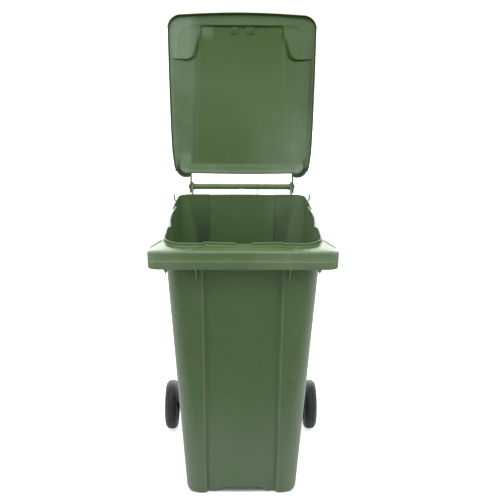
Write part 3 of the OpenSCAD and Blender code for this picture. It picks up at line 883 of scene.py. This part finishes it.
# the lid's side wall as (outward, height): the first rings' heights are from the inner face's edge
NEAR_EDGE = ((1.2, -0.5), (2.1, -1.8), (2.5, -4.0))
SIDE_WALL = ((2.5, -9.0), (2.7, -10.8), (3.5, -12), (4.4, -12), (5.2, -11.2), (5.5, -9.6), (5.5, -2),
             (5.5, 4.0), (5.1, 7.4), (4.0, 10.2), (2.2, 12.0), (1.0, 12.5))
side_rings = []
for level_n, profile in ((edge_n, NEAR_EDGE), (np.zeros(len(loop)), SIDE_WALL)):
    for off, n in profile:
        q = loop + out_n * off
        side_rings.append(lid_point(q[:, 0], q[:, 1], level_n + n))
verts = np.concatenate([A.reshape(-1, 3), B.reshape(-1, 3)] + side_rings)
faces = []
for i in range(NR - 1):
    for j in range(NC - 1):
        a = i * NC + j
        faces.append((a, a + NC, a + NC + 1, a + 1))
        b = a + NR * NC
        faces.append((b, b + 1, b + NC + 1, b + NC))
L = len(border)
ia = bi[:, 0] * NC + bi[:, 1]
chain_ids = [ia] + [2 * NR * NC + k * L + np.arange(L) for k in range(len(side_rings))] + [ia + NR * NC]
for p, q in zip(chain_ids[:-1], chain_ids[1:]):
    for i in range(L):
        j = (i + 1) % L
        faces.append((p[i], p[j], q[j], q[i]))
lid = new_mesh("lid_moulding", to_row(verts), faces, "lid", LID_MAT, 45)
# painted highlights and reflections on the inner face, then painted shade in its rear corners and along its
# right edge
painted_light = np.zeros(len(verts))
# painted highlights: the panel's outline, the left grip flat and side strip, a patch low on the left, a sheen
# low on the right, the rear edge and the upper left corner
outline = bead((np.abs(GX) - panel_x(GU)) / 1.2) * (GU > 94) * (GU < 622)
flats = 0.5 * (1 - smooth(9, 22, GN)) * smooth(165, 215, -GX)
side = smooth(0, 30, -GX - panel_x(GU)) * lerp(0.17, 0.27, smooth(300, 500, GU))
patch = 0.42 * smooth(192, 204, -GX) * smooth(82, 92, GU) * (1 - smooth(128, 138, GU))
sheen = 0.30 * smooth(-30, 250, GX) * (1 - smooth(130, 400, GU))
heel = lerp(0.38, 0.5, smooth(60, 220, GX)) * (1 - smooth(80, 100, GU))
corner = 0.3 * smooth(105, 125, -GX) * smooth(570, 610, GU) * smooth(15, 22, GN)
marks = (flats, side, patch, sheen, heel, corner)
painted_light[:NR * NC] = (np.maximum.reduce(marks) + 0.4 * outline).ravel()
# painted shade in the rear corners, behind the lip, and along the right edge
painted_shade = np.zeros(len(verts))
edge_in = heel_edge(np.abs(GX), GU)
in_corner = near_heel(GX, GU)
right_edge = 0.3 * smooth(225, 260, GX) * smooth(250, 380, GU) * (1 - smooth(520, 600, GU))
painted_shade[:NR * NC] = np.maximum(in_corner * (1 - smooth(9, 17, edge_in)), right_edge).ravel()
inner_rings = 8     # the side wall's rings that the corners' painted shade reaches
painted_shade[2 * NR * NC:(2 * NR * NC + inner_rings * L)] = np.tile(near_heel(loop[:, 0], loop[:, 1]), inner_rings)
set_level(lid, "painted_light", painted_light)
set_level(lid, "painted_shade", painted_shade)
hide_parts("lid_shell")

RIB_END = 631


# two raised blocks of short ribs behind the front edge of the lid, with a few low ribs beside them
def panel_block(x0, x1, u0, u1, tall, bevel):
    """A block on the lid's inner face, from u0 to u1, whose face follows the panel."""
    x = (x0 + x1) / 2
    near, far = (float(under(np.array([x]), np.array([u]))[0]) for u in (u0, min(u1, 626.0)))
    side = [(u0, near + 1), (u0, near - tall + 0.5), (u0 + 1.5, near - tall), (u1, far - tall), (u1, far + 1)]
    v, f = prism(side, x0, x1, bevel)
    return lid_point(v[:, 0], v[:, 1], v[:, 2]), f


rib_parts = []
for x0, x1 in ((-43.6, -17), (16, 46)):
    rib_parts.append(panel_block(x0, x1, 603, RIB_END, 2.6, 0.6))
    for k in range(4):
        x = lerp(x0 + 1, x1 - 3, k / 3)
        rib_parts.append(panel_block(x, x + 2, 601, RIB_END, 6.5, 0.4))
for x, u0 in ((-62, 616), (-54, 612), (-8, 606), (4, 606), (56, 616)):
    rib_parts.append(panel_block(x, x + 1.4, u0, RIB_END, 1.6, 0.3))
v, f = joined(rib_parts)
ribs = new_mesh("lid_front_ribs", to_row(v), f, "lid", LID_MAT, 30)
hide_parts("lid_ribs")

# ---------------------------------------------------------------- handle, brackets, arms
def circle_pts(cy, cz, r, a0, a1, n):
    a = np.radians(np.linspace(a0, a1, n))
    return [(cy + r * math.cos(t), cz + r * math.sin(t)) for t in a]


def box_outline(y0, z0, y1, z1):
    return [(y0, z0), (y1, z0), (y1, z1), (y0, z1)]


EYE = 19.0                  # radius of the brackets' and arms' ends
BAR_R = 11.0
BAR_ENDS = ((188.5, 15.0), (186.5, 13.2), (182, 11.7), (174, BAR_R))     # (x, radius), flared
BAR_FLAT = -8.0             # the bar's underside is cut flat below this in its middle
BRACKET_X = (187.5, 194.0)
LUG_X = (193.2, 200.5)      # the lugs that stop the lid
ARM_X = (195.0, 201.0)
bracket = [(RIM_DEPTH - 2, 946), (RIM_DEPTH + 6, 944)] + circle_pts(HINGE_Y, HINGE_Z, EYE, -62, 118, 30)
bracket += [(HINGE_Y - 26, HINGE_Z + 3), (RIM_DEPTH - 2, SEAT_Z)]
parts = []
for s in (-1, 1):
    a, b = sorted(s * x for x in BRACKET_X)
    parts.append(prism(bracket, a, b, 0.9))
    a, b = sorted(s * x for x in LUG_X)
    parts.append(prism(box_outline(HINGE_Y - 29, HINGE_Z - 6, HINGE_Y - 21, HINGE_Z + 3), a, b, 0.8))
web = [(RIM_DEPTH - 1, 950), (HINGE_Y - 2, HINGE_Z - 15)]
web += [(HINGE_Y + 10, HINGE_Z - 10), (HINGE_Y + 12, HINGE_Z + 4)]
web += circle_pts(HINGE_Y, HINGE_Z, 17, 30, 140, 12) + [(RIM_DEPTH - 1, SEAT_Z - 1)]
parts.append(prism(web, 59.8, 61.8, 0.4))


def bar_mesh():
    """The handle bar, with a short flat under its middle."""
    segs = 48
    profile = [(side * x, r) for side in (-1, 1) for x, r in BAR_ENDS]
    profile += [(x, BAR_R) for x in [*np.linspace(-160, 160, 33), -13, -11.5, -9.5, 9.5, 11.5, 13]]
    profile.sort()
    rg = []
    for x, r in profile:
        cut = float(1 - smooth(9.5, 12.5, abs(x)))
        ring = []
        for k in range(segs):
            a = 2 * math.pi * k / segs
            y, z = r * math.cos(a), r * math.sin(a)
            if z < BAR_FLAT:
                z = lerp(z, BAR_FLAT, cut)
            ring.append((x, HINGE_Y + y, HINGE_Z + z))
        rg.append(np.array(ring))
    ends = [np.array((x, HINGE_Y, HINGE_Z)) for x in (profile[0][0], profile[-1][0])]
    return loft(rg, *ends)


parts.append(bar_mesh())
v, f = joined(parts)
handle = new_mesh("rear_handle", to_row(v), f, "body", BODY_MAT, 30)
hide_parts("handle_bar")

# the lid's arm and eye, in (u, height)
arm = [(58, -9.5), (58, 12.5), (46, 17.5), (30, 18.6), (7.0, 19.0)] + circle_pts(0, 0, EYE, 75, 332, 40)
arm += [(18.4, 6.5), (30, 5.0), (35, -9.5)]
for side, s in (("right", 1), ("left", -1)):
    a, b = sorted(s * x for x in ARM_X)
    v, f = prism(arm, a, b, 0.8)
    p1 = (lid_point(v[:, 0], v[:, 1], v[:, 2]), f)
    p2 = prism(box_outline(HINGE_Y - 28.5, HINGE_Z - 18, HINGE_Y - 12.5, HINGE_Z - 6.4), a, b, 0.7)
    v, f = joined([p1, p2])
    o = new_mesh("lid_arm_" + side, to_row(v), f, "lid", LID_MAT, 30)
    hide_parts("lid_hinge_" + side)

# ---------------------------------------------------------------- wheels
TYRE_DEPTH = 22
HUB_RIM = 5         # the hub's rim under the tyre
SPOKES = 8
SPOKE_HALF = 2.2
for side, s in (("right", 1), ("left", -1)):
    r0 = WHEEL_R - TYRE_DEPTH
    prof = rounded(
        [(r0, TYRE_IN + 3), (r0 + 3, TYRE_IN), (r0 + 9, TYRE_IN + 1.5), (WHEEL_R - 5, TYRE_IN + 7),
         (WHEEL_R - 0.6, TYRE_IN + 15), (WHEEL_R, TYRE_IN + 17), (WHEEL_R - 2, TYRE_IN + 18.2),
         (WHEEL_R - 2, TYRE_IN + 20.2), (WHEEL_R, TYRE_IN + 21.4), (WHEEL_R, TYRE_IN + 28),
         (WHEEL_R - 2, TYRE_IN + 29.2), (WHEEL_R - 2, TYRE_IN + 31.2), (WHEEL_R - 0.3, TYRE_IN + 32.4),
         (WHEEL_R - 2, TYRE_OUT - 11), (WHEEL_R - 8, TYRE_OUT - 5), (r0 + 9, TYRE_OUT - 1.5),
         (r0 + 3, TYRE_OUT), (r0, TYRE_OUT - 3)],
        [1, 1.2, 2.5, 4, 1, 0.7, 0.5, 0.5, 0.7, 0.7, 0.5, 0.5, 0.7, 3.5, 3, 2, 1.2, 1], 5)
    v, f = turned(prof, s, 128)
    t = new_mesh("wheel_tyre_" + side, v, f, "wheel_" + side, RUBBER, 40)
    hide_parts("tyre_" + side)
    ri = r0 - HUB_RIM
    hub = rounded(
        [(10.1, 216.5), (17, 216.5), (19, 218.5), (19.6, 262), (21, 279), (ri - 3, 283),
         (ri, TYRE_IN + 8), (ri, TYRE_IN + 4), (r0 - 0.2, TYRE_IN + 4), (r0 - 0.2, TYRE_OUT - 4),
         (ri, TYRE_OUT - 4), (ri, TYRE_OUT - 9), (ri - 4, 289), (26, 286.5), (24, 288), (24, 293),
         (18, 293), (18, 289), (10.1, 289)],
        [0.5, 0.8, 0.8, 2, 2, 3, 1, 0.8, 0.6, 0.6, 0.8, 1.5, 3, 2, 1, 0.8, 0.6, 0.5, 0.3], 4)
    parts = [turned(hub, s, 96)]
    spokes = []
    for k in range(SPOKES):
        a = math.radians(360 / SPOKES * (k + 0.5))
        for x0, x1, ra, rb in ((TYRE_IN + 9, 283, 19, ri + 0.5), (286.5, 296.5, 23.5, ri + 0.5)):
            xa, xb = sorted((s * x0, s * x1))
            v, f = prism(box_outline(ra, -SPOKE_HALF, rb, SPOKE_HALF), xa, xb, 0.7)
            c, sn = math.cos(a), math.sin(a)
            y = AXLE_Y + v[:, 1] * c - v[:, 2] * sn
            z = AXLE_Z + v[:, 1] * sn + v[:, 2] * c
            spokes.append((to_row(np.stack([v[:, 0], y, z], 1)), f))
    v, f = joined(parts + spokes)
    h = new_mesh("wheel_hub_moulding_" + side, v, f, "wheel_" + side, BLACK, 35)
    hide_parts("wheel_hub_" + side)
    cap = rounded(
        [(0.01, 289.6), (17.4, 289.6), (17.4, 293.4), (23.4, 293.4), (23.4, 296), (20, 299.4), (12, 301.4),
         (0.01, 302)],
        [0, 0.6, 0.3, 0.5, 1.2, 2.5, 4, 0], 5)
    v, f = turned(cap, s, 64)
    c = new_mesh("wheel_cap_" + side, v, f, "wheel_" + side, BLACK, 35)
    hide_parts("hub_cap_" + side)

# ---------------------------------------------------------------- CAD nodes that stay
KEPT = ((BODY_MAT, ("comb_webs", "lid_guides", "axle_housing")),
        (BLACK, ("hinge_pin_left", "hinge_pin_right")),
        (ZINC, ("axle", "latch_pin_left", "latch_pin_right")))
for mat, names in KEPT:
    for name in names:
        o = frame["nodes"][name]
        o.data.materials.clear()
        o.data.materials.append(mat)

# ---------------------------------------------------------------- stage, light, camera
scene = bpy.context.scene
# strengths of the surroundings, and watts of the three lights
FRONT_LIGHT = 0.62
BACK_LIGHT = 5.0
TOP_LIGHT = 0.5
KEY = 33
SOFT_LEFT = 18
SOFT_RIGHT = 23
APRON = 0.22                    # how far in front of the bin the unlit floor starts
FOOT_X, FOOT_Y = 0.2, 0.17      # half size of the patch under the bin that does not glow
FOOT_MID = 0.31                 # how far behind the rim's front its middle is


def mapped(nt, value, lo, hi, to_lo, to_hi):
    n = nt.nodes.new("ShaderNodeMapRange")
    n.interpolation_type = "SMOOTHSTEP"
    for k, v in (("From Min", lo), ("From Max", hi), ("To Min", to_lo), ("To Max", to_hi)):
        n.inputs[k].default_value = v
    nt.links.new(value, n.inputs["Value"])
    return n.outputs[0]


def paper(name):
    """White studio paper with a glow seen only by the camera, painted light that keeps shadows faint except
    right under the bin.
    """
    m, nt, bsdf = nodes_of(name)
    bsdf.inputs["Base Color"].default_value = (0.92, 0.92, 0.92, 1)
    bsdf.inputs["Roughness"].default_value = 0.9
    glow = nt.nodes.new("ShaderNodeEmission")
    path = nt.nodes.new("ShaderNodeLightPath")
    sep = nt.nodes.new("ShaderNodeSeparateXYZ")
    nt.links.new(coords(nt), sep.inputs[0])
    across = math_node(nt, "DIVIDE", math_node(nt, "ABSOLUTE", sep.outputs["X"]), FOOT_X)
    along = math_node(nt, "ABSOLUTE", math_node(nt, "SUBTRACT", sep.outputs["Y"], FRONT + FOOT_MID))
    out_of_foot = math_node(nt, "MAXIMUM", across, math_node(nt, "DIVIDE", along, FOOT_Y))
    clear = mapped(nt, out_of_foot, 0.9, 1.02, 0.0, 0.6)
    nt.links.new(math_node(nt, "MULTIPLY", path.outputs["Is Camera Ray"], clear), glow.inputs["Strength"])
    both = nt.nodes.new("ShaderNodeAddShader")
    nt.links.new(bsdf.outputs[0], both.inputs[0])
    nt.links.new(glow.outputs[0], both.inputs[1])
    out = next(n for n in nt.nodes if n.type == "OUTPUT_MATERIAL")
    nt.links.new(both.outputs[0], out.inputs[0])
    return m


bm = bmesh.new()
bmesh.ops.create_grid(bm, x_segments=1, y_segments=1, size=30)
me = bpy.data.meshes.new("floor")
bm.to_mesh(me)
bm.free()
floor = bpy.data.objects.new("floor", me)
scene.collection.objects.link(floor)
floor.data.materials.append(paper("floor_paper"))


def studio_world():
    """White surroundings: brightest behind the bin, bright above it, dim in front; plain white to the eye."""
    world = bpy.data.worlds.new("studio")
    scene.world = world
    world.use_nodes = True
    nt = world.node_tree
    nt.nodes.clear()
    tc = nt.nodes.new("ShaderNodeTexCoord")
    sep = nt.nodes.new("ShaderNodeSeparateXYZ")
    nt.links.new(tc.outputs["Generated"], sep.inputs[0])
    behind = mapped(nt, sep.outputs["Y"], 0.5, 0.97, FRONT_LIGHT, BACK_LIGHT)
    above = mapped(nt, sep.outputs["Z"], 0.35, 0.95, 0.0, TOP_LIGHT)
    lit = nt.nodes.new("ShaderNodeBackground")
    lit.inputs["Color"].default_value = (0.97, 0.985, 1.0, 1)
    nt.links.new(math_node(nt, "ADD", behind, above), lit.inputs["Strength"])
    seen = nt.nodes.new("ShaderNodeBackground")
    seen.inputs["Color"].default_value = (1, 1, 1, 1)
    seen.inputs["Strength"].default_value = 1.1
    path = nt.nodes.new("ShaderNodeLightPath")
    both = nt.nodes.new("ShaderNodeMixShader")
    nt.links.new(path.outputs["Is Camera Ray"], both.inputs[0])
    nt.links.new(lit.outputs[0], both.inputs[1])
    nt.links.new(seen.outputs[0], both.inputs[2])
    out = nt.nodes.new("ShaderNodeOutputWorld")
    nt.links.new(both.outputs[0], out.inputs[0])


def dark_apron():
    """The unlit studio floor in front of the white paper: only the bin sees it, from above."""
    m, nt, bsdf = nodes_of("apron")
    bsdf.inputs["Base Color"].default_value = (0.3, 0.3, 0.3, 1)
    bsdf.inputs["Roughness"].default_value = 0.9
    clear = nt.nodes.new("ShaderNodeBsdfTransparent")
    geo = nt.nodes.new("ShaderNodeNewGeometry")
    both = nt.nodes.new("ShaderNodeMixShader")
    nt.links.new(geo.outputs["Backfacing"], both.inputs[0])
    nt.links.new(bsdf.outputs[0], both.inputs[1])
    nt.links.new(clear.outputs[0], both.inputs[2])
    out = next(n for n in nt.nodes if n.type == "OUTPUT_MATERIAL")
    nt.links.new(both.outputs[0], out.inputs[0])
    far, z = 8, 0.004
    y0, y1 = FRONT - APRON, FRONT - far
    me = bpy.data.meshes.new("apron")
    me.from_pydata([(-far, y1, z), (far, y1, z), (far, y0, z), (-far, y0, z)], [], [(0, 1, 2, 3)])
    o = bpy.data.objects.new("apron", me)
    scene.collection.objects.link(o)
    o.data.materials.append(m)
    o.visible_camera = False
    o.visible_shadow = False


studio_world()
dark_apron()


def area(name, loc, target, size, power, size_y=None):
    d = bpy.data.lights.new(name, "AREA")
    d.energy = power
    d.color = (0.94, 0.975, 1.0)
    d.shape = "RECTANGLE"
    d.size = size
    d.size_y = size_y or size
    o = bpy.data.objects.new(name, d)
    scene.collection.objects.link(o)
    o.location = loc
    o.rotation_euler = (Vector(target) - Vector(loc)).to_track_quat("-Z", "Y").to_euler()
    o.visible_camera = False
    return o


area("key", (-0.3, -1.4, 3.1), (0, -0.1, 0.8), 2.0, KEY, 1.2)
area("softbox_left", (-2.2, -2.4, 2.9), (0, 0, 0.9), 1.2, SOFT_LEFT)
area("softbox_right", (2.4, -2.2, 2.9), (0, 0, 0.9), 1.2, SOFT_RIGHT)

# the camera: focal length in pixels, angles in degrees, places in metres
CAM = {"f": 749.0, "pitch": 19.54, "height": 1.744, "back": 2.129, "yaw": 1.151, "roll": -0.531, "x": -0.0227}
IMAGE, SENSOR = 500, 36
th, ya, ro = (math.radians(CAM[k]) for k in ("pitch", "yaw", "roll"))
fwd = Vector((math.sin(ya) * math.cos(th), math.cos(ya) * math.cos(th), -math.sin(th)))
right = Vector((math.cos(ya), -math.sin(ya), 0))
down = fwd.cross(right)
r2 = right * math.cos(ro) + down * math.sin(ro)
d2 = -right * math.sin(ro) + down * math.cos(ro)
cam_data = bpy.data.cameras.new("camera")
cam_data.sensor_width = SENSOR
cam_data.lens = CAM["f"] / IMAGE * SENSOR
cam = bpy.data.objects.new("camera", cam_data)
scene.collection.objects.link(cam)
m = Matrix((r2, -d2, -fwd)).transposed().to_4x4()
m.translation = Vector((CAM["x"], FRONT - CAM["back"], CAM["height"]))
cam.matrix_world = m
scene.camera = cam
scene.view_settings.view_transform = "Standard"
